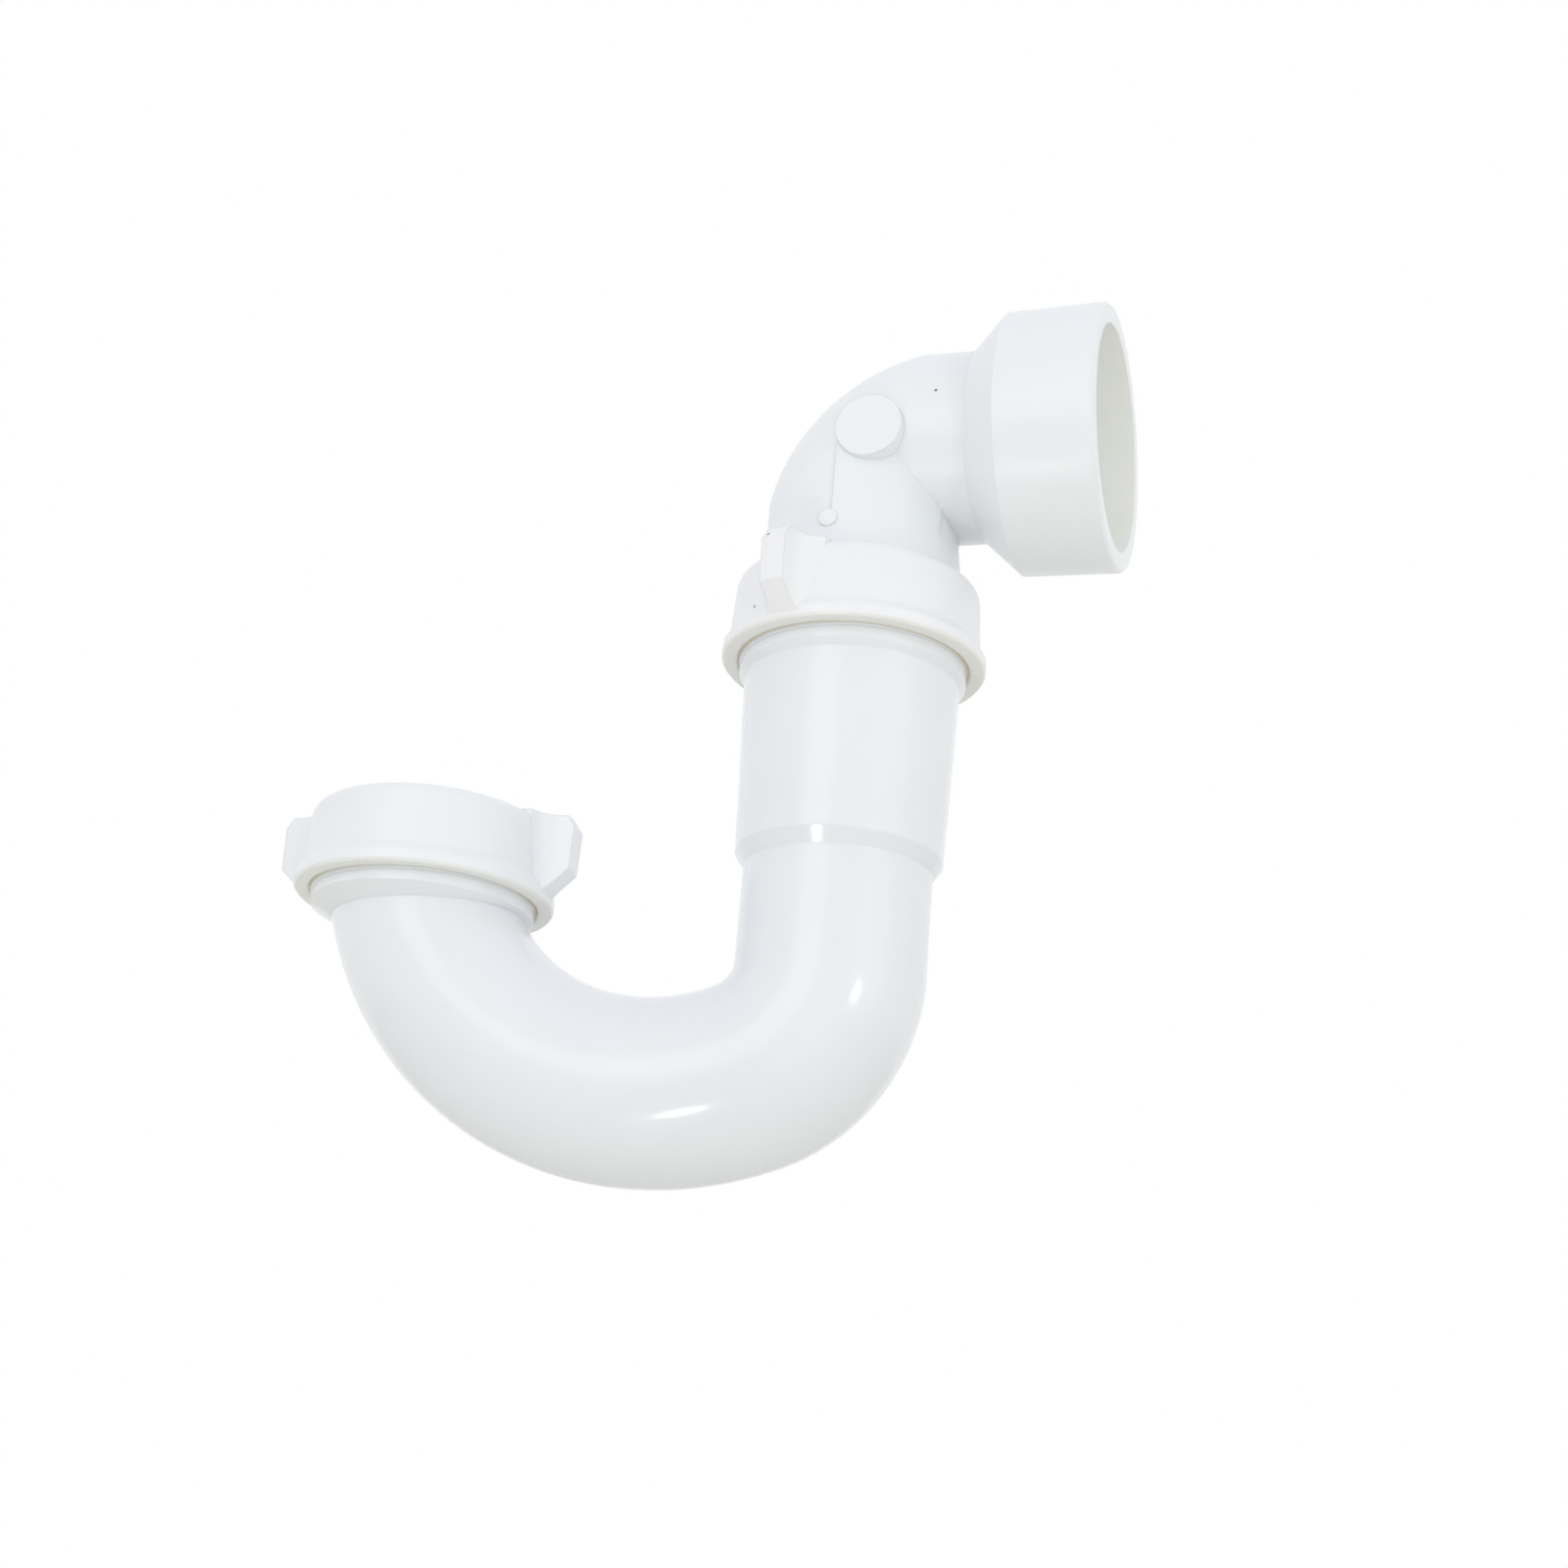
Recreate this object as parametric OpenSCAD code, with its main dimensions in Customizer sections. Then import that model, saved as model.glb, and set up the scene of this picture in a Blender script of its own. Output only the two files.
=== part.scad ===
// Slip joint sink trap for 1 1/2 inch waste pipe, in white PVC.
// A J bend with a slip joint at each end: the sink tailpiece enters the inlet socket,
// and the elbow's plain spigot telescopes and swivels in the long barrel on the riser.
// Origin: centre of the inlet socket's mouth. +Z is up the tailpiece, +X towards the drain.

/* [Bores] */
// Bore of both slip sockets
socket_d = 38.5; // [30:0.1:50]
// Bore of the bend, the elbow and the spigot
waterway_d = 34; // [24:0.1:44]
// Radial play of the spigot in its socket
spigot_play = 0.2; // [0.05:0.05:0.6]

/* [J bend] */
// Distance between the inlet axis and the riser axis
leg_spacing = 92.4; // [85:0.1:130]
// Wall of the bend's tube
tube_wall = 2.45; // [1.5:0.05:4]
// Angle by which the wide sweep already leans under the inlet
sweep_start = 18.3; // [5:0.1:30]
// Centreline radius of the tight heel under the riser
heel_radius = 23.4; // [22:0.1:32]
// Angle of the sweep at which the heel takes over
sweep_end = 110; // [95:1:120]
// Height of the heel's centre below the inlet mouth
heel_drop = 27.1; // [20:0.1:50]

/* [Inlet collar] */
// Outer diameter of both threaded collars
thread_d = 47.8; // [46:0.1:60]
// Length of the inlet collar below its rim
inlet_collar_length = 16; // [12:0.1:25]
// Length of the cone that joins the inlet collar to the tube
inlet_cone_length = 2.5; // [2:0.1:10]
// Depth of the inlet socket below its mouth
inlet_socket_depth = 12; // [8:0.1:13]
// Depth of the washer bevel above each socket's mouth
bevel_depth = 2.2; // [1:0.1:3]
// Width of the washer bevel, measured on the radius
bevel_width = 2.25; // [1:0.05:3]
// Chamfer on the outer edge of each collar's rim
rim_chamfer = 0.6; // [0.2:0.1:1.5]

/* [Riser barrel] */
// Height of the barrel socket's mouth above the inlet mouth
barrel_mouth_z = 50; // [40:0.1:90]
// Length of the barrel from its mouth down to the step
barrel_length = 53.6; // [40:0.1:60]
// Barrel diameter at the step
barrel_foot_d = 42.8; // [42:0.1:45]
// Barrel diameter under the threaded collar
barrel_top_d = 45.4; // [43:0.1:46]
// Height of the cone between the step and the tube
step_height = 3; // [1:0.1:6]
// Length of the threaded collar on the barrel, from its rim down
barrel_collar_length = 16; // [12:0.1:25]
// Height of the small cone under that collar
collar_relief = 1.4; // [0.5:0.1:4]
// Depth of the barrel socket from its mouth to the stop
barrel_socket_depth = 51; // [30:0.1:55]

/* [Slip nuts] */
// Height of a slip nut
nut_height = 18.6; // [16:0.05:25]
// Thickness of the nut's inward cap
nut_cap = 2.4; // [1.5:0.1:4]
// Wall of the nut outside its thread
nut_wall = 2.4; // [1.5:0.1:5]
// How much the nut's wall leans in from lip to shoulder
nut_taper = 0.6; // [0:0.1:1.2]
// How far the lip bead stands out from the wall
lip_bead = 1.3; // [0.5:0.1:3]
// Height of the lip bead
lip_height = 3.2; // [1:0.1:5]
// Chamfer on the inner edge of the nut's mouth
mouth_chamfer = 0.6; // [0.2:0.1:2]
// Radius of the nut's rounded shoulder
nut_round = 3.2; // [0.5:0.1:3.4]
// Radial play between nut and collar threads
thread_play = 0.3; // [0.1:0.05:0.8]
// Radial play between the nut's hole and the pipe
hole_play = 0.45; // [0.2:0.05:1]
// Reach of the two wing lugs from the nut's wall
lug_reach = 6.9; // [3:0.1:12]
// Thickness of a lug at its tip
lug_width = 5.6; // [3:0.1:10]
// Radius of the hollow corner between a lug and the nut
lug_fillet = 6; // [2:0.1:10]
// Height of a lug's sloping foot
lug_slope = 5; // [1:0.1:11]
// Height of the sloping corner at a lug's tip
lug_corner_height = 2.4; // [0.5:0.1:6]
// Width of that corner
lug_corner_width = 1.5; // [0.5:0.1:5]
// Clocking of the inlet nut's lugs
inlet_nut_turn = 3; // [0:1:180]
// Clocking of the outlet nut's lugs
outlet_nut_turn = 74; // [0:1:180]

/* [Washers] */
// Thickness of a washer's flange
washer_flange = 2.7; // [1.5:0.1:4]
// Gap between a washer's flange and the nut's thread
washer_gap = 0.6; // [0.2:0.05:1.5]
// Radial play between a washer's bore and the pipe
washer_bore_play = 0.45; // [0.2:0.05:1]
// Play between a washer and what it seats on
washer_play = 0.15; // [0.05:0.05:0.3]

/* [Elbow] */
// Height of the outlet axis above the inlet mouth
outlet_rise = 90; // [80:0.1:140]
// Centreline radius of the elbow
elbow_radius = 21.9; // [21.4:0.1:40]
// Outer diameter of the elbow's round back
elbow_d = 42.6; // [40:0.1:42.7]
// Outer diameter of the two legs that meet in the throat
leg_d = 41.4; // [40:0.1:41.5]
// Diameter of the elbow's shoulder above the nut
shoulder_d = 43.6; // [42:0.1:50]
// Gap between the shoulder and the outlet nut
shoulder_gap = 0.6; // [0.3:0.1:10]
// Length of the plain spigot below the shoulder
spigot_length = 50; // [25:0.1:55]

/* [Outlet hub] */
// Bore of the outlet hub, which takes the drain pipe
hub_socket_d = 48.4; // [44:0.1:60]
// Depth of the outlet hub's socket
hub_socket_depth = 19.5; // [15:0.1:19.9]
// Wall of the hub at its mouth
hub_wall = 4.4; // [3:0.1:8]
// How much narrower the hub is at its root, on the radius
hub_draft = 0.4; // [0:0.1:1]
// Distance from the riser axis to the hub's mouth
hub_reach = 54.3; // [50:0.1:80]
// Length of the hub's straight outside
hub_length = 20.9; // [20:0.1:30]
// Length of the cone behind the hub
hub_cone_length = 7.7; // [5:0.1:15]

/* [Flank marks] */
// Diameter of the bare round boss on the elbow's flank
boss_d = 14.4; // [8:0.1:18]
// How far the boss stands proud of the flank
boss_proud = 0.9; // [0.3:0.1:2]
// How far the boss lies from the riser axis, towards the drain
boss_offset = 6; // [0:0.1:10]
// How far the boss lies below the outlet axis
boss_drop = 4.9; // [0:0.1:10]
// How far the panel below the boss stands proud of the leg
panel_proud = 0.5; // [0.3:0.1:1]
// How far the panel reaches past the riser axis, away from the drain
panel_edge = 1; // [0:0.1:6]
// Diameter of the small pip beside the panel
mark_d = 4.2; // [1:0.1:6]
// How far the pip stands proud of the leg
mark_proud = 0.35; // [0.1:0.05:1]
// How far the pip lies from the riser axis, away from the drain
mark_offset = 1.5; // [0:0.1:6]
// How far the pip lies below the outlet axis
mark_drop = 25.6; // [22:0.1:30]

/* [Hidden] */
$fn = 96;

pvc_white = [0.95, 0.96, 0.95];
nut_white = [0.93, 0.94, 0.91];
washer_white = [0.90, 0.89, 0.84];

socket_r = socket_d / 2;
waterway_r = waterway_d / 2;
spigot_r = socket_r - spigot_play;
tube_r = waterway_r + tube_wall;
thread_r = thread_d / 2;
bevel_r = socket_r + bevel_width;
overlap = 0.5;

// Wide sweep: its centreline crosses the inlet axis at its start angle and meets the heel
// at its end angle, which gives its radius and its centre.
heel_centre = [leg_spacing - heel_radius, -heel_drop];
sweep_span = leg_spacing - heel_radius * (1 + cos(sweep_end));
sweep_radius = sweep_span / (cos(sweep_start) - cos(sweep_end));
radius_change = sweep_radius - heel_radius;
sweep_centre = heel_centre + radius_change * [cos(sweep_end), sin(sweep_end)];
// The sweep is carried on up into the socket, which cuts its end away, to this depth.
sweep_top = 3.72;
sweep_top_angle = asin((sweep_centre[1] + sweep_top) / sweep_radius);
// Angle and length by which the sweep and the riser run on inside the heel's ends,
// where the heel is fuller by this skin.
sweep_lap = 0.5;
heel_lap = 0.5;
heel_skin = 0.03;

rim_z = bevel_depth;
collar_foot_z = rim_z - inlet_collar_length;
barrel_rim_z = barrel_mouth_z + bevel_depth;
barrel_collar_foot_z = barrel_rim_z - barrel_collar_length;
step_z = barrel_mouth_z - barrel_length;

// Slip nut, measured from its open lip.
nut_thread_r = thread_r + thread_play;
nut_hole_r = socket_r + hole_play;
nut_r = nut_thread_r + nut_wall;
nut_top_r = nut_r - nut_taper;
lip_r = nut_r + lip_bead;
lug_tip_r = nut_r + lug_reach;
nut_above_rim = washer_flange + 2 * washer_play - (nut_height - nut_cap);
inlet_nut_z = rim_z + nut_above_rim;
outlet_nut_z = barrel_rim_z + nut_above_rim;

washer_r = nut_thread_r - washer_gap;
washer_bore_r = spigot_r + washer_bore_play;

// Elbow, measured from the riser axis and the outlet axis.
spigot_top_z = outlet_nut_z + nut_height + shoulder_gap;
elbow_centre_z = outlet_rise - elbow_radius;
elbow_r = elbow_d / 2;
leg_r = leg_d / 2;
hub_r = hub_socket_d / 2 + hub_wall;
hub_root_x = hub_reach - hub_length;
boss_centre = [boss_offset, outlet_rise - boss_drop];
mark_centre = [-mark_offset, outlet_rise - mark_drop];
mark_height = (elbow_centre_z - mark_centre[1]) / (elbow_centre_z - spigot_top_z);
mark_foot_r = leg_r + (shoulder_d / 2 - leg_r) * mark_height;

outlet_elbow();
trap_bend();
inlet_nut();
inlet_washer();
outlet_nut();
outlet_washer();

// Part of a ring tube in the XZ plane, from one angle to another, measured from +X towards +Z.
module arc_tube(centre, radius, from, to, r) {
    translate([centre[0], 0, centre[1]])
        rotate([90, 0, 0])
            rotate([0, 0, from])
                rotate_extrude(angle = to - from)
                    translate([radius, 0])
                        circle(r);
}

// Slab with an outline drawn in the XZ plane.
module flank_slab(outline, y_from, y_to) {
    translate([0, y_to, 0])
        rotate([90, 0, 0])
            linear_extrude(y_to - y_from)
                polygon(outline);
}

// Bore of a slip socket: straight from the stop to the mouth, then the bevel for the washer.
module slip_socket(mouth_z, depth) {
    rotate_extrude()
        polygon([
            [0, mouth_z - depth],
            [socket_r, mouth_z - depth],
            [socket_r, mouth_z],
            [bevel_r, mouth_z + bevel_depth],
            [bevel_r, mouth_z + bevel_depth + overlap],
            [0, mouth_z + bevel_depth + overlap]
        ]);
}

// Both bends of the J, at a given tube radius. The heel closes over the sweep's end.
module j_sweep(r) {
    arc_tube(sweep_centre, sweep_radius, 180 + sweep_top_angle, 180 + sweep_end + sweep_lap, r);
    arc_tube(heel_centre, heel_radius, 180 + sweep_end, 360, r + heel_skin);
}

module inlet_collar() {
    rotate_extrude()
        polygon([
            [0, collar_foot_z - inlet_cone_length],
            [tube_r - 0.4, collar_foot_z - inlet_cone_length],
            [thread_r, collar_foot_z],
            [thread_r, rim_z - rim_chamfer],
            [thread_r - rim_chamfer, rim_z],
            [0, rim_z]
        ]);
}

module riser_barrel() {
    translate([leg_spacing, 0, 0])
        rotate_extrude()
            polygon([
                [0, -heel_drop - heel_lap],
                [tube_r, -heel_drop - heel_lap],
                [tube_r, step_z - step_height],
                [barrel_foot_d / 2, step_z],
                [barrel_top_d / 2, barrel_collar_foot_z - collar_relief],
                [thread_r, barrel_collar_foot_z],
                [thread_r, barrel_rim_z - rim_chamfer],
                [thread_r - rim_chamfer, barrel_rim_z],
                [0, barrel_rim_z]
            ]);
}

module trap_bend() {
    color(pvc_white)
        difference() {
            union() {
                inlet_collar();
                j_sweep(tube_r);
                riser_barrel();
            }
            slip_socket(0, inlet_socket_depth);
            j_sweep(waterway_r);
            translate([leg_spacing, 0, -heel_drop - heel_lap])
                cylinder(h = heel_lap + heel_drop + barrel_mouth_z, r = waterway_r);
            translate([leg_spacing, 0, 0])
                slip_socket(barrel_mouth_z, barrel_socket_depth);
        }
}

// Plan of one lug: a straight tab that widens into the round wall through two hollow corners.
module lug_plan() {
    corner_y = lug_width / 2 + lug_fillet;
    corner_x = sqrt(pow(nut_top_r + lug_fillet, 2) - pow(corner_y, 2));
    touch = nut_top_r / (nut_top_r + lug_fillet);
    root_x = nut_thread_r * 0.8;
    difference() {
        polygon([
            [root_x, -corner_y * touch],
            [corner_x * touch, -corner_y * touch],
            [corner_x, -lug_width / 2],
            [lug_tip_r + overlap, -lug_width / 2],
            [lug_tip_r + overlap, lug_width / 2],
            [corner_x, lug_width / 2],
            [corner_x * touch, corner_y * touch],
            [root_x, corner_y * touch]
        ]);
        for (side = [-1, 1])
            translate([corner_x, side * corner_y])
                circle(lug_fillet);
    }
}

module wing_lug() {
    intersection() {
        linear_extrude(nut_height)
            lug_plan();
        rotate_extrude()
            polygon([
                [0, lip_height / 2],
                [lip_r, lip_height / 2],
                [lug_tip_r - 0.3, lip_height / 2 + lug_slope],
                [lug_tip_r, nut_height - lug_corner_height],
                [lug_tip_r - lug_corner_width, nut_height],
                [0, nut_height]
            ]);
    }
}

module nut_shell() {
    rotate_extrude()
        union() {
            polygon([
                [0, 0],
                [lip_r - 0.5, 0],
                [lip_r, 0.6],
                [lip_r, lip_height - 0.6],
                [nut_r, lip_height + 1.4],
                [nut_top_r, nut_height - nut_round],
                [nut_top_r - nut_round, nut_height - nut_round / 2],
                [0, nut_height - nut_round / 2]
            ]);
            polygon([
                [0, nut_height - nut_round],
                [nut_top_r - nut_round, nut_height - nut_round],
                [nut_top_r - nut_round, nut_height],
                [0, nut_height]
            ]);
            translate([nut_top_r - nut_round, nut_height - nut_round])
                circle(nut_round);
        }
}

module slip_nut() {
    thread_top_z = nut_height - nut_cap;
    difference() {
        union() {
            nut_shell();
            wing_lug();
            rotate([0, 0, 180])
                wing_lug();
        }
        rotate_extrude()
            polygon([
                [0, -overlap],
                [nut_thread_r + mouth_chamfer, -overlap],
                [nut_thread_r + mouth_chamfer, 0],
                [nut_thread_r, mouth_chamfer],
                [nut_thread_r, thread_top_z],
                [nut_hole_r, thread_top_z],
                [nut_hole_r, nut_height + overlap],
                [0, nut_height + overlap]
            ]);
    }
}

// Washer, measured from the collar's rim: a flange, and a nose that enters the bevel.
module slip_washer() {
    nose_z = washer_play + (washer_bore_r + washer_play - socket_r) * bevel_depth / bevel_width - bevel_depth;
    rotate_extrude()
        polygon([
            [washer_bore_r, nose_z],
            [washer_bore_r + washer_play, nose_z],
            [bevel_r, washer_play],
            [washer_r, washer_play],
            [washer_r, washer_play + washer_flange],
            [washer_bore_r, washer_play + washer_flange]
        ]);
}

module inlet_nut() {
    color(nut_white)
        translate([0, 0, inlet_nut_z])
            rotate([0, 0, inlet_nut_turn])
                slip_nut();
}

module outlet_nut() {
    color(nut_white)
        translate([leg_spacing, 0, outlet_nut_z])
            rotate([0, 0, outlet_nut_turn])
                slip_nut();
}

module inlet_washer() {
    color(washer_white)
        translate([0, 0, rim_z])
            slip_washer();
}

module outlet_washer() {
    color(washer_white)
        translate([leg_spacing, 0, barrel_rim_z])
            slip_washer();
}

// The elbow bends round an outer quarter ring, cut by two straight legs that meet in a mitre.
module elbow_bend() {
    far = 2 * elbow_radius;
    intersection() {
        arc_tube([elbow_radius, elbow_centre_z], elbow_radius, 90, 180, elbow_r);
        union() {
            intersection() {
                translate([0, 0, elbow_centre_z - overlap])
                    cylinder(h = 2 * far, r = leg_r);
                flank_slab([
                    [-far, elbow_centre_z - far],
                    [far, elbow_centre_z - far],
                    [far, outlet_rise - far],
                    [-far, outlet_rise + far]
                ], -far, far);
            }
            intersection() {
                translate([-far, 0, outlet_rise])
                    rotate([0, 90, 0])
                        cylinder(h = 2 * far, r = leg_r);
                flank_slab([
                    [far, outlet_rise - far],
                    [far, outlet_rise + far],
                    [-far, outlet_rise + far]
                ], -far, far);
            }
        }
    }
}

// Leg below the bend, down to the spigot's end.
module elbow_leg() {
    rotate_extrude()
        polygon([
            [0, spigot_top_z - spigot_length],
            [spigot_r - 0.8, spigot_top_z - spigot_length],
            [spigot_r, spigot_top_z - spigot_length + 0.8],
            [spigot_r, spigot_top_z],
            [shoulder_d / 2, spigot_top_z],
            [leg_r, elbow_centre_z],
            [0, elbow_centre_z]
        ]);
}

module outlet_hub() {
    translate([0, 0, outlet_rise])
        rotate([0, 90, 0])
            rotate_extrude()
                polygon([
                    [0, elbow_radius],
                    [leg_r, elbow_radius],
                    [leg_r, hub_root_x - hub_cone_length],
                    [hub_r - hub_draft, hub_root_x],
                    [hub_r, hub_reach - rim_chamfer],
                    [hub_r - rim_chamfer, hub_reach],
                    [0, hub_reach]
                ]);
}

// Marks on the flank that faces the viewer: a bare round boss, the panel below it, a pip.
module flank_marks() {
    translate([boss_centre[0], 0, boss_centre[1]])
        rotate([90, 0, 0])
            cylinder(h = elbow_r + boss_proud, r = boss_d / 2);
    intersection() {
        translate([0, 0, spigot_top_z])
            cylinder(h = outlet_rise - spigot_top_z, r = leg_r + panel_proud);
        flank_slab([
            [-panel_edge, spigot_top_z + 1.5],
            [elbow_r, spigot_top_z + 1.5],
            [elbow_r, outlet_rise - elbow_r],
            [boss_centre[0] + boss_d / 4, boss_centre[1]],
            [-panel_edge, boss_centre[1]]
        ], -2 * elbow_r, -waterway_r * 0.5);
    }
    translate([mark_centre[0], 0, mark_centre[1]])
        rotate([90, 0, 0])
            cylinder(h = mark_foot_r + mark_proud, r = mark_d / 2);
}

module outlet_elbow() {
    color(pvc_white)
        translate([leg_spacing, 0, 0])
            difference() {
                union() {
                    elbow_leg();
                    elbow_bend();
                    outlet_hub();
                    flank_marks();
                }
                translate([0, 0, spigot_top_z - spigot_length - overlap])
                    cylinder(h = elbow_centre_z - spigot_top_z + spigot_length + overlap, r = waterway_r);
                arc_tube([elbow_radius, elbow_centre_z], elbow_radius, 90, 180, waterway_r);
                translate([elbow_radius, 0, outlet_rise])
                    rotate([0, 90, 0])
                        cylinder(h = hub_reach - elbow_radius, r = waterway_r);
                translate([hub_reach - hub_socket_depth, 0, outlet_rise])
                    rotate([0, 90, 0])
                        cylinder(h = hub_socket_depth + overlap, r = hub_socket_d / 2);
            }
}
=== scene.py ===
"""Slip joint sink trap: looks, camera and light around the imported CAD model. Metres throughout."""
import math

import bmesh
import bpy
from mathutils import Matrix, Vector


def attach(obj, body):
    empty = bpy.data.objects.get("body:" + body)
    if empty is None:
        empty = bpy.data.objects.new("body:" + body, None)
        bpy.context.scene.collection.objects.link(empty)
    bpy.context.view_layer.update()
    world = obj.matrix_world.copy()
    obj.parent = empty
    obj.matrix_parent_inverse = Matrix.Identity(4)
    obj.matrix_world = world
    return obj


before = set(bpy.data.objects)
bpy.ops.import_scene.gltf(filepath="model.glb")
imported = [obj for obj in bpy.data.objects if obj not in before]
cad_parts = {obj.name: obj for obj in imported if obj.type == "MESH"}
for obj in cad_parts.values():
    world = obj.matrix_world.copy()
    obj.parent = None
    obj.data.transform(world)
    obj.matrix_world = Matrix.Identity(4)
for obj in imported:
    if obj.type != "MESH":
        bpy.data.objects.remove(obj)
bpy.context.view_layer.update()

MM = 0.001

# Places on the object that the materials and the threads go by, in millimetres.
RISER_X = 92.4
COLLAR_RADIUS = 23.9
INLET_COLLAR = (-13.8, 2.2)
OUTLET_COLLAR = (36.2, 52.2)
INLET_LIP_Z = -11.0
OUTLET_LIP_Z = 39.0
OUTLET_AXIS_Z = 90.0
HUB_SOCKET_X = 126.6
HUB_BORE_RADIUS = 24.2
RISER_ARC_END_Z = -20.0


# Materials

def new_material(name):
    mat = bpy.data.materials.new(name)
    mat.use_nodes = True
    tree = mat.node_tree
    return mat, tree, tree.nodes["Principled BSDF"]


def add_noise(tree, coords, scale, detail):
    noise = tree.nodes.new("ShaderNodeTexNoise")
    noise.inputs["Scale"].default_value = scale
    noise.inputs["Detail"].default_value = detail
    tree.links.new(coords.outputs["Object"], noise.inputs["Vector"])
    return noise.outputs["Fac"]


def remap(tree, value, from_low, from_high, to_low=0.0, to_high=1.0):
    """A smooth step between two values of the input."""
    node = tree.nodes.new("ShaderNodeMapRange")
    node.interpolation_type = "SMOOTHSTEP"
    node.inputs["From Min"].default_value = from_low
    node.inputs["From Max"].default_value = from_high
    node.inputs["To Min"].default_value = to_low
    node.inputs["To Max"].default_value = to_high
    tree.links.new(value, node.inputs["Value"])
    return node.outputs["Result"]


def tint(tree, colour, amount, target):
    """Lays a colour over another, by an amount that comes from the surface."""
    mix = tree.nodes.new("ShaderNodeMix")
    mix.data_type = "RGBA"
    tree.links.new(amount, mix.inputs["Factor"])
    tree.links.new(colour, mix.inputs[6])
    mix.inputs[7].default_value = (*target, 1)
    return mix.outputs[2]


def distance_to(tree, coords, point, keep=(1, 1, 1)):
    """Distance in metres from a point, or from a line through it where keep drops an axis."""
    drop = tree.nodes.new("ShaderNodeVectorMath")
    drop.operation = "MULTIPLY"
    drop.inputs[1].default_value = keep
    tree.links.new(coords.outputs["Object"], drop.inputs[0])
    node = tree.nodes.new("ShaderNodeVectorMath")
    node.operation = "DISTANCE"
    node.inputs[1].default_value = [value * MM * kept for value, kept in zip(point, keep)]
    tree.links.new(drop.outputs["Vector"], node.inputs[0])
    return node.outputs["Value"]


def coordinate(tree, coords, axis):
    """One coordinate of the surface in the row frame, in metres."""
    split = tree.nodes.new("ShaderNodeSeparateXYZ")
    tree.links.new(coords.outputs["Object"], split.inputs["Vector"])
    return split.outputs[axis]


def multiply(tree, first, second):
    node = tree.nodes.new("ShaderNodeMath")
    node.operation = "MULTIPLY"
    tree.links.new(first, node.inputs[0])
    tree.links.new(second, node.inputs[1])
    return node.outputs["Value"]


PLASTIC_IOR = 1.5
DEPTH_WEIGHT = 0.12
DEPTH_SCALE = 5.0 * MM
EDGE_RADIUS = 0.5 * MM
WAVE_HEIGHT = 0.1 * MM
WAVE_SCALE = 45.0
GLOSS_SCALE = 90.0
CLOUD_SCALE = 22.0
LIP_CREAM = (0.82, 0.80, 0.70)
GREASE_BROWN = (0.74, 0.64, 0.44)
SPECK_GREY = (0.12, 0.11, 0.10)
# Painted light: the near-white colour painted inside the outlet's socket, standing in for light
# reaching into it.
SOCKET_PAINTED_LIGHT = (0.97, 0.975, 0.95)


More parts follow.
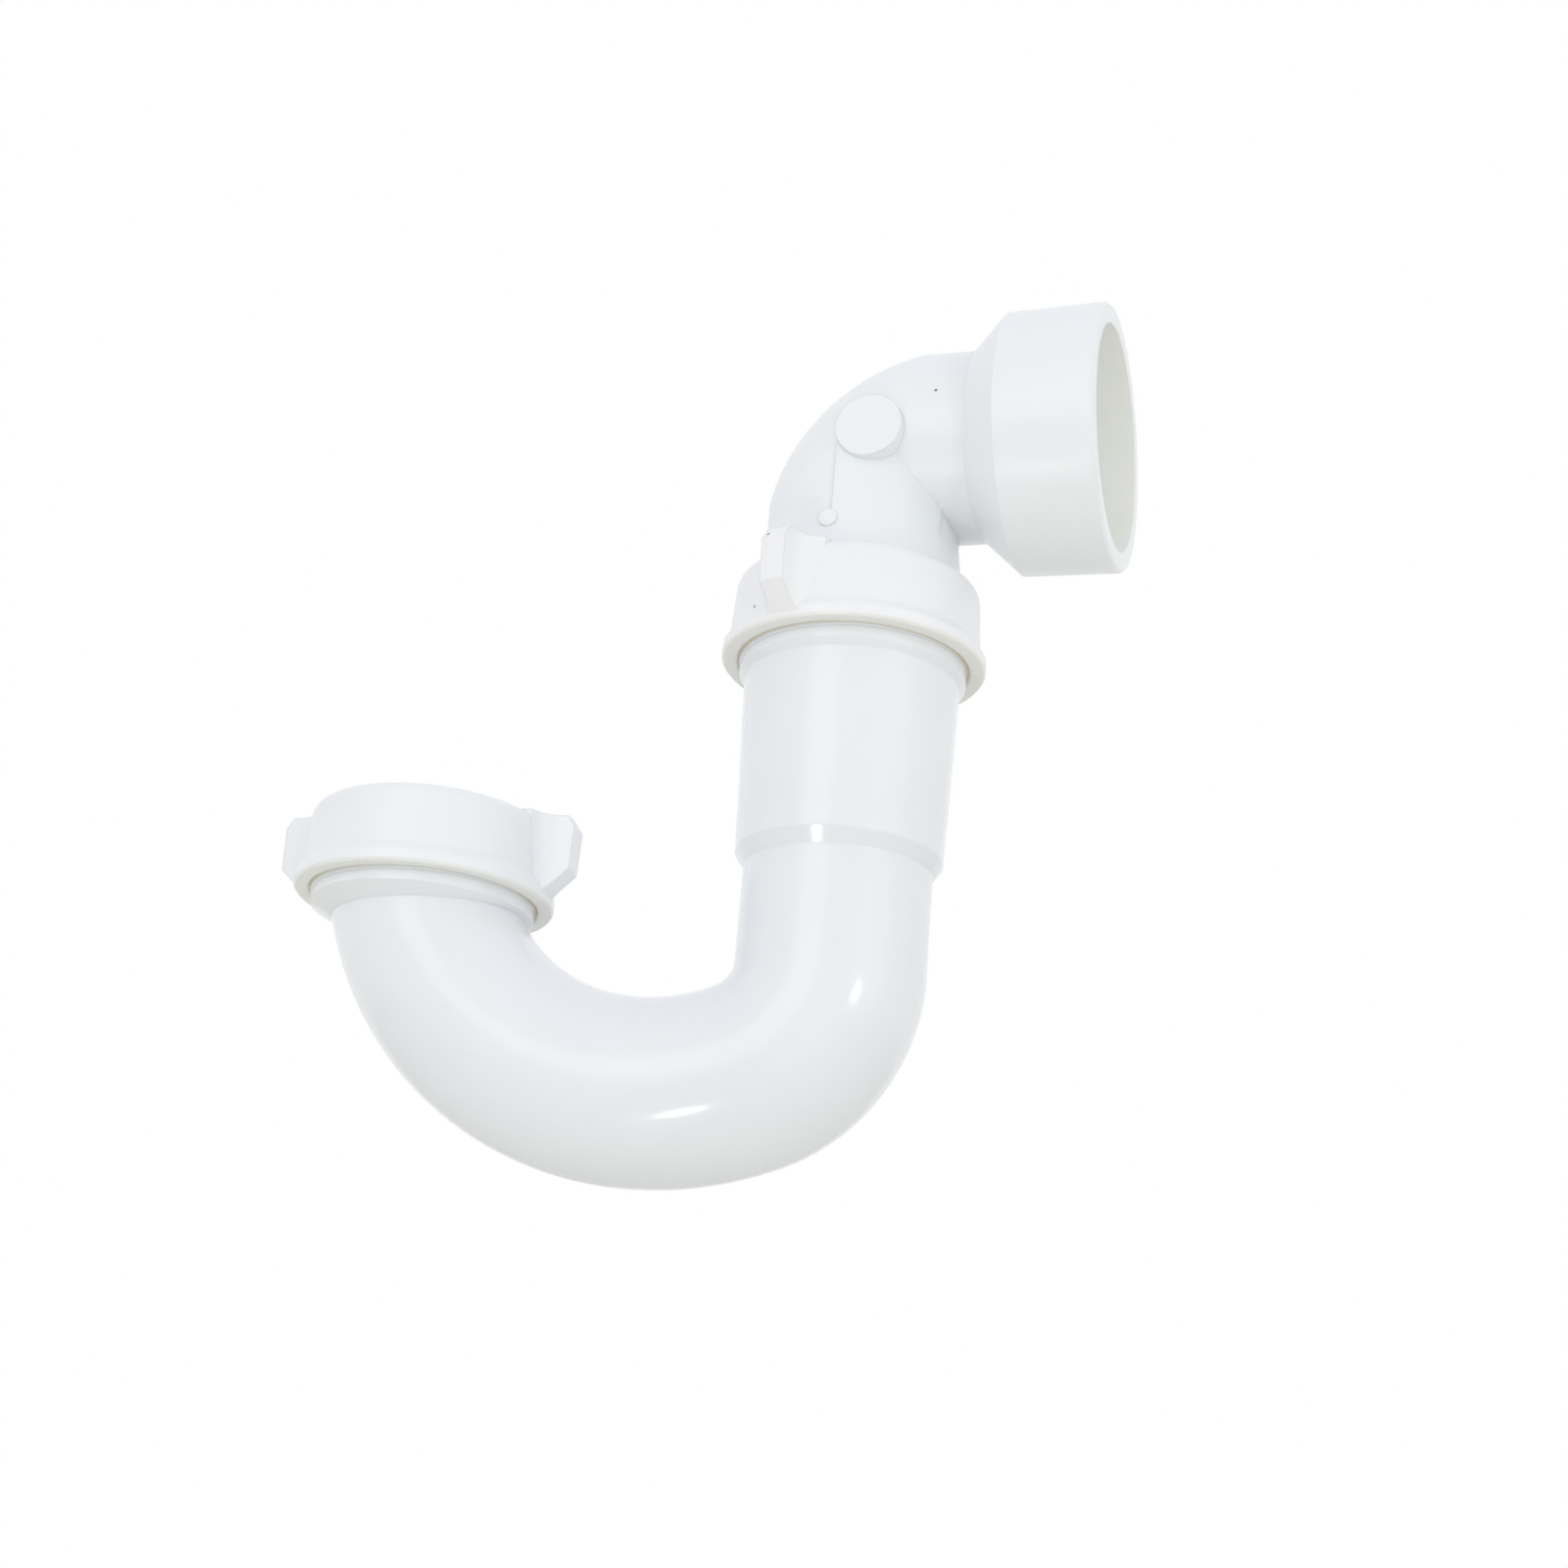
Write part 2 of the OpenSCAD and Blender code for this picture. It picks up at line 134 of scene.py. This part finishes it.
def moulded_plastic(name, low, high, roughness, lip=None, hub=None, specks=(), seamless_below=None):
    """Near-white moulded plastic: faint clouds, slightly wavy gloss, soft edges, small specks.

    lip is the place of a nut's mouth (axis x and lip height, mm), which is creamier,
    with a brown line of old grease in the gap to the thread. hub is where the outlet's
    socket starts and its axis height; inside the socket the colour is painted near white,
    as painted light that stands for light reaching into the socket. Below the height
    seamless_below the edges stay as they are, so that no joint of the bend's arcs shows.
    """
    mat, tree, shader = new_material(name)
    links = tree.links
    shader.inputs["IOR"].default_value = PLASTIC_IOR
    shader.inputs["Subsurface Weight"].default_value = DEPTH_WEIGHT
    shader.inputs["Subsurface Radius"].default_value = (1.0, 0.95, 0.85)
    shader.inputs["Subsurface Scale"].default_value = DEPTH_SCALE

    coords = tree.nodes.new("ShaderNodeTexCoord")
    tone = tree.nodes.new("ShaderNodeValToRGB")
    tone.color_ramp.interpolation = "EASE"
    tone.color_ramp.elements[0].position = 0.2
    tone.color_ramp.elements[0].color = (*low, 1)
    tone.color_ramp.elements[1].position = 0.8
    tone.color_ramp.elements[1].color = (*high, 1)
    links.new(add_noise(tree, coords, CLOUD_SCALE, 4.0), tone.inputs["Fac"])
    colour = tone.outputs["Color"]
    if lip:
        axis_x, lip_z = lip
        height = coordinate(tree, coords, "Z")
        near_lip = remap(tree, height, (lip_z + 0.8) * MM, (lip_z + 0.1) * MM, 0.0, 0.4)
        colour = tint(tree, colour, near_lip, LIP_CREAM)
        radius = distance_to(tree, coords, (axis_x, 0, 0), keep=(1, 1, 0))
        outside_hole = remap(tree, radius, (COLLAR_RADIUS + 0.1) * MM, (COLLAR_RADIUS + 0.2) * MM)
        in_bore = remap(tree, radius, (COLLAR_RADIUS + 0.5) * MM, (COLLAR_RADIUS + 0.35) * MM, 0.0, 0.9)
        low_down = remap(tree, height, (lip_z + 3.0) * MM, (lip_z + 2.5) * MM)
        greasy = multiply(tree, low_down, multiply(tree, in_bore, outside_hole))
        colour = tint(tree, colour, greasy, GREASE_BROWN)
    # Painted light: inside the outlet's socket the colour is painted near white, in place of light that
    # reaches into the socket.
    if hub:
        start_x, axis_z = hub
        past_start = remap(tree, coordinate(tree, coords, "X"), start_x * MM, (start_x + 0.2) * MM)
        radius = distance_to(tree, coords, (0, 0, axis_z), keep=(0, 1, 1))
        in_socket = remap(tree, radius, (HUB_BORE_RADIUS + 0.3) * MM, (HUB_BORE_RADIUS + 0.1) * MM)
        colour = tint(tree, colour, multiply(tree, in_socket, past_start), SOCKET_PAINTED_LIGHT)
    for point, size in specks:
        spot = remap(tree, distance_to(tree, coords, point), size * MM, 0.6 * size * MM, 0.0, 0.8)
        colour = tint(tree, colour, spot, SPECK_GREY)
    links.new(colour, shader.inputs["Base Color"])

    wear = add_noise(tree, coords, GLOSS_SCALE, 2.0)
    gloss = remap(tree, wear, 0.2, 0.8, roughness - 0.03, roughness + 0.05)
    links.new(gloss, shader.inputs["Roughness"])

    bevel = tree.nodes.new("ShaderNodeBevel")
    bevel.samples = 6
    bevel.inputs["Radius"].default_value = EDGE_RADIUS
    normal = bevel.outputs["Normal"]
    if seamless_below is not None:
        height = coordinate(tree, coords, "Z")
        above = remap(tree, height, (seamless_below - 1) * MM, seamless_below * MM)
        geometry = tree.nodes.new("ShaderNodeNewGeometry")
        choose = tree.nodes.new("ShaderNodeMix")
        choose.data_type = "VECTOR"
        links.new(above, choose.inputs["Factor"])
        links.new(geometry.outputs["Normal"], choose.inputs[4])
        links.new(normal, choose.inputs[5])
        normal = choose.outputs[1]
    bump = tree.nodes.new("ShaderNodeBump")
    bump.inputs["Strength"].default_value = 0.5
    bump.inputs["Distance"].default_value = WAVE_HEIGHT
    links.new(add_noise(tree, coords, WAVE_SCALE, 1.0), bump.inputs["Height"])
    links.new(normal, bump.inputs["Normal"])
    links.new(bump.outputs["Normal"], shader.inputs["Normal"])
    return mat


BEND_LOW, BEND_HIGH = (0.81, 0.83, 0.865), (0.85, 0.867, 0.897)
ELBOW_LOW, ELBOW_HIGH = (0.835, 0.855, 0.885), (0.865, 0.885, 0.91)
INLET_NUT_LOW, INLET_NUT_HIGH = (0.845, 0.86, 0.89), (0.875, 0.886, 0.91)
OUTLET_NUT_LOW, OUTLET_NUT_HIGH = (0.87, 0.868, 0.895), (0.90, 0.895, 0.915)

BEND_PVC = moulded_plastic("bend_pvc_mat", BEND_LOW, BEND_HIGH, 0.16, seamless_below=RISER_ARC_END_Z)
# The elbow's socket inside gets painted light (a near-white colour) through hub.
ELBOW_PVC = moulded_plastic(
    "elbow_pvc_mat", ELBOW_LOW, ELBOW_HIGH, 0.32, hub=(HUB_SOCKET_X, OUTLET_AXIS_Z),
    specks=[((112.07, -20.47, 93.01), 0.45)])
INLET_NUT_PLASTIC = moulded_plastic(
    "inlet_nut_plastic_mat", INLET_NUT_LOW, INLET_NUT_HIGH, 0.32, lip=(0, INLET_LIP_Z))
OUTLET_NUT_PLASTIC = moulded_plastic(
    "outlet_nut_plastic_mat", OUTLET_NUT_LOW, OUTLET_NUT_HIGH, 0.32, lip=(RISER_X, OUTLET_LIP_Z),
    specks=[((81.71, -31.13, 56.11), 0.5), ((76.72, -21.4, 44.68), 0.45)])
WASHER_PLASTIC = moulded_plastic("washer_plastic_mat", (0.70, 0.66, 0.55), (0.76, 0.72, 0.62), 0.45)
OLD_GREASE = moulded_plastic("old_grease_mat", (0.72, 0.62, 0.42), (0.82, 0.73, 0.54), 0.50)

NODE_MATERIALS = {
    "trap_bend": BEND_PVC,
    "outlet_elbow": ELBOW_PVC,
    "inlet_nut": INLET_NUT_PLASTIC,
    "outlet_nut": OUTLET_NUT_PLASTIC,
    "inlet_washer": WASHER_PLASTIC,
    "outlet_washer": WASHER_PLASTIC,
}
for node, material in NODE_MATERIALS.items():
    for mat_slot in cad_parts[node].material_slots:
        mat_slot.material = material


# Threads: the helical ridges on both collars, 11.5 turns to the inch.

THREAD_PITCH = 25.4 / 11.5
THREAD_HEIGHT = 0.24
THREAD_ROOT = 0.1
THREAD_MARGIN = 1.2
THREAD_STEPS = 72


def collar_thread(name, axis_x, foot_z, rim_z):
    """One ridge of triangular section that winds round a collar and fades into it at both ends."""
    turns = (rim_z - foot_z - 2 * THREAD_MARGIN) / THREAD_PITCH
    count = int(turns * THREAD_STEPS)
    mesh = bmesh.new()
    rows = []
    for step in range(count + 1):
        share = step / count
        angle = 2 * math.pi * turns * share
        fade = min(1.0, share * turns * 3, (1 - share) * turns * 3)
        mid_z = foot_z + THREAD_MARGIN + THREAD_PITCH * turns * share
        root = COLLAR_RADIUS - THREAD_ROOT
        crest = COLLAR_RADIUS - 0.06 + (THREAD_HEIGHT + 0.06) * fade
        section = ((root, -0.42), (crest, -0.12), (crest, 0.12), (root, 0.42))
        rows.append([
            mesh.verts.new((
                (axis_x + radius * math.cos(angle)) * MM,
                radius * math.sin(angle) * MM,
                (mid_z + offset * THREAD_PITCH) * MM,
            ))
            for radius, offset in section
        ])
    for low, high in zip(rows, rows[1:]):
        for k in range(4):
            after = (k + 1) % 4
            mesh.faces.new((low[k], high[k], high[after], low[after]))
    mesh.faces.new(rows[0])
    mesh.faces.new(rows[-1][::-1])
    bmesh.ops.recalc_face_normals(mesh, faces=mesh.faces)
    data = bpy.data.meshes.new(name)
    mesh.to_mesh(data)
    mesh.free()
    piece = bpy.data.objects.new(name, data)
    bpy.context.scene.collection.objects.link(piece)
    data.materials.append(BEND_PVC)
    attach(piece, "trap")


collar_thread("inlet_collar_thread", 0, *INLET_COLLAR)
collar_thread("outlet_collar_thread", RISER_X, *OUTLET_COLLAR)


GREASE_RADIUS = 0.28
GREASE_DEPTH = 0.4


def grease_line(name, axis_x, lip_z):
    """Old grease on the thread, which nearly fills the gap at a nut's mouth."""
    bpy.ops.mesh.primitive_torus_add(
        location=(axis_x * MM, 0, (lip_z + GREASE_DEPTH) * MM), major_segments=144, minor_segments=10,
        major_radius=(COLLAR_RADIUS + GREASE_DEPTH / 2) * MM, minor_radius=GREASE_RADIUS * MM)
    piece = bpy.context.object
    piece.name = piece.data.name = name
    piece.data.materials.append(OLD_GREASE)
    for face in piece.data.polygons:
        face.use_smooth = True
    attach(piece, "trap")


grease_line("inlet_grease_line", 0, INLET_LIP_Z)
grease_line("outlet_grease_line", RISER_X, OUTLET_LIP_Z)


# Floor, backdrop and world

def camera_white(tree, shade, target):
    """Shows pure white to the camera and to reflections, and the plain shade to all else."""
    nodes, links = tree.nodes, tree.links
    path = nodes.new("ShaderNodeLightPath")
    seen = path.outputs["Is Camera Ray"]
    for ray in ("Is Glossy Ray", "Is Transmission Ray"):
        either = nodes.new("ShaderNodeMath")
        either.operation = "MAXIMUM"
        links.new(seen, either.inputs[0])
        links.new(path.outputs[ray], either.inputs[1])
        seen = either.outputs["Value"]
    white = nodes.new("ShaderNodeBackground")
    white.inputs["Color"].default_value = (1, 1, 1, 1)
    white.inputs["Strength"].default_value = 1.0
    mix = nodes.new("ShaderNodeMixShader")
    links.new(seen, mix.inputs["Fac"])
    links.new(shade.outputs["Background"], mix.inputs[1])
    links.new(white.outputs["Background"], mix.inputs[2])
    links.new(mix.outputs["Shader"], target.inputs["Surface"])


def studio_sky(tree, toward_dim):
    """Cool and bright all round, except for a dimmer and warmer part in one direction."""
    nodes, links = tree.nodes, tree.links
    sky = nodes["Background"]
    coords = nodes.new("ShaderNodeTexCoord")
    dot = nodes.new("ShaderNodeVectorMath")
    dot.operation = "DOT_PRODUCT"
    dot.inputs[1].default_value = toward_dim.normalized()
    links.new(coords.outputs["Generated"], dot.inputs[0])
    amount = remap(tree, dot.outputs["Value"], SKY_DIM_FROM, 1.0)
    plain = nodes.new("ShaderNodeRGB")
    plain.outputs["Color"].default_value = (*SKY_COLOUR, 1)
    links.new(tint(tree, plain.outputs["Color"], amount, SKY_DIM_COLOUR), sky.inputs["Color"])
    sky.inputs["Strength"].default_value = WORLD_LEVEL
    return sky


WORLD_LEVEL = 0.888
SKY_COLOUR = (0.966, 0.976, 1.0)
SKY_DIM_COLOUR = (0.82, 0.84, 0.80)
SKY_DIM_FROM = 0.1
world = bpy.data.worlds.new("studio")
bpy.context.scene.world = world
world.use_nodes = True
world_tree = world.node_tree
camera_white(world_tree, studio_sky(world_tree, Vector((0.30, -0.65, -0.70))),
             world_tree.nodes["World Output"])

# The camera looks up at the trap, so the floor lies below the camera.
FLOOR_Z = -0.60
FLOOR_SIZE = 8.0
FLOOR_COLOUR = (0.77, 0.768, 0.705)
bpy.ops.mesh.primitive_plane_add(size=FLOOR_SIZE, location=(0.06, 0, FLOOR_Z))
floor = bpy.context.object
floor.name = "studio_floor"
floor_mat, floor_tree, floor_shader = new_material("pale_floor")
floor_shader.inputs["Base Color"].default_value = (*FLOOR_COLOUR, 1)
floor_shader.inputs["Roughness"].default_value = 0.7
floor.data.materials.append(floor_mat)


# Camera

CAMERA_TARGET = Vector((79.2, 0.0, 13.65)) * MM
CAMERA_AZIMUTH = math.radians(18.45)
CAMERA_ELEVATION = math.radians(-20.65)
CAMERA_ROLL = math.radians(4.84)
CAMERA_DISTANCE = 510.1 * MM
FOCAL_PX = 2489.3
IMAGE_PX = 1600
SENSOR_MM = 36.0


def camera_axes():
    back = Vector((
        math.sin(CAMERA_AZIMUTH) * math.cos(CAMERA_ELEVATION),
        -math.cos(CAMERA_AZIMUTH) * math.cos(CAMERA_ELEVATION),
        math.sin(CAMERA_ELEVATION),
    ))
    right = (-back).cross(Vector((0, 0, 1))).normalized()
    up = right.cross(-back)
    rolled_right = math.cos(CAMERA_ROLL) * right + math.sin(CAMERA_ROLL) * up
    rolled_up = -math.sin(CAMERA_ROLL) * right + math.cos(CAMERA_ROLL) * up
    return rolled_right, rolled_up, back


CAM_RIGHT, CAM_UP, CAM_BACK = camera_axes()
camera_data = bpy.data.cameras.new("photo_camera")
camera_data.sensor_width = SENSOR_MM
camera_data.lens = FOCAL_PX / IMAGE_PX * SENSOR_MM
camera_data.clip_start = 0.01
camera_data.clip_end = 20
camera = bpy.data.objects.new("photo_camera", camera_data)
bpy.context.scene.collection.objects.link(camera)
rotation = Matrix((CAM_RIGHT, CAM_UP, CAM_BACK)).transposed().to_4x4()
camera.matrix_world = Matrix.Translation(CAMERA_TARGET + CAM_BACK * CAMERA_DISTANCE) @ rotation
bpy.context.scene.camera = camera


# Lights

def area_light(name, right, up, back, distance, size, power, colour=(1, 1, 1)):
    """An area light placed in the camera's own directions and aimed at the object."""
    direction = (CAM_RIGHT * right + CAM_UP * up + CAM_BACK * back).normalized()
    data = bpy.data.lights.new(name, "AREA")
    data.shape = "DISK"
    data.size = size
    data.energy = power
    data.color = colour
    lamp = bpy.data.objects.new(name, data)
    lamp.location = CAMERA_TARGET + direction * distance
    lamp.rotation_euler = direction.to_track_quat("Z", "Y").to_euler()
    lamp.visible_camera = False
    bpy.context.scene.collection.objects.link(lamp)


area_light("soft_key", -0.62, 0.75, 1.0, 1.2, 0.7, 1.3, (0.92, 0.97, 1.0))
area_light("front_fill", 0.10, -0.12, 1.0, 1.4, 0.9, 1.2, (0.97, 0.98, 1.0))
area_light("side_fill", 1.0, 0.40, 0.80, 1.3, 1.0, 1.0, (1.0, 1.0, 0.94))
area_light("left_glint", -0.50, -0.53, 1.0, 0.85, 0.11, 0.80)
area_light("right_glint", 0.75, 0.21, 1.0, 0.85, 0.08, 0.45)


bpy.context.scene.view_settings.view_transform = "Standard"
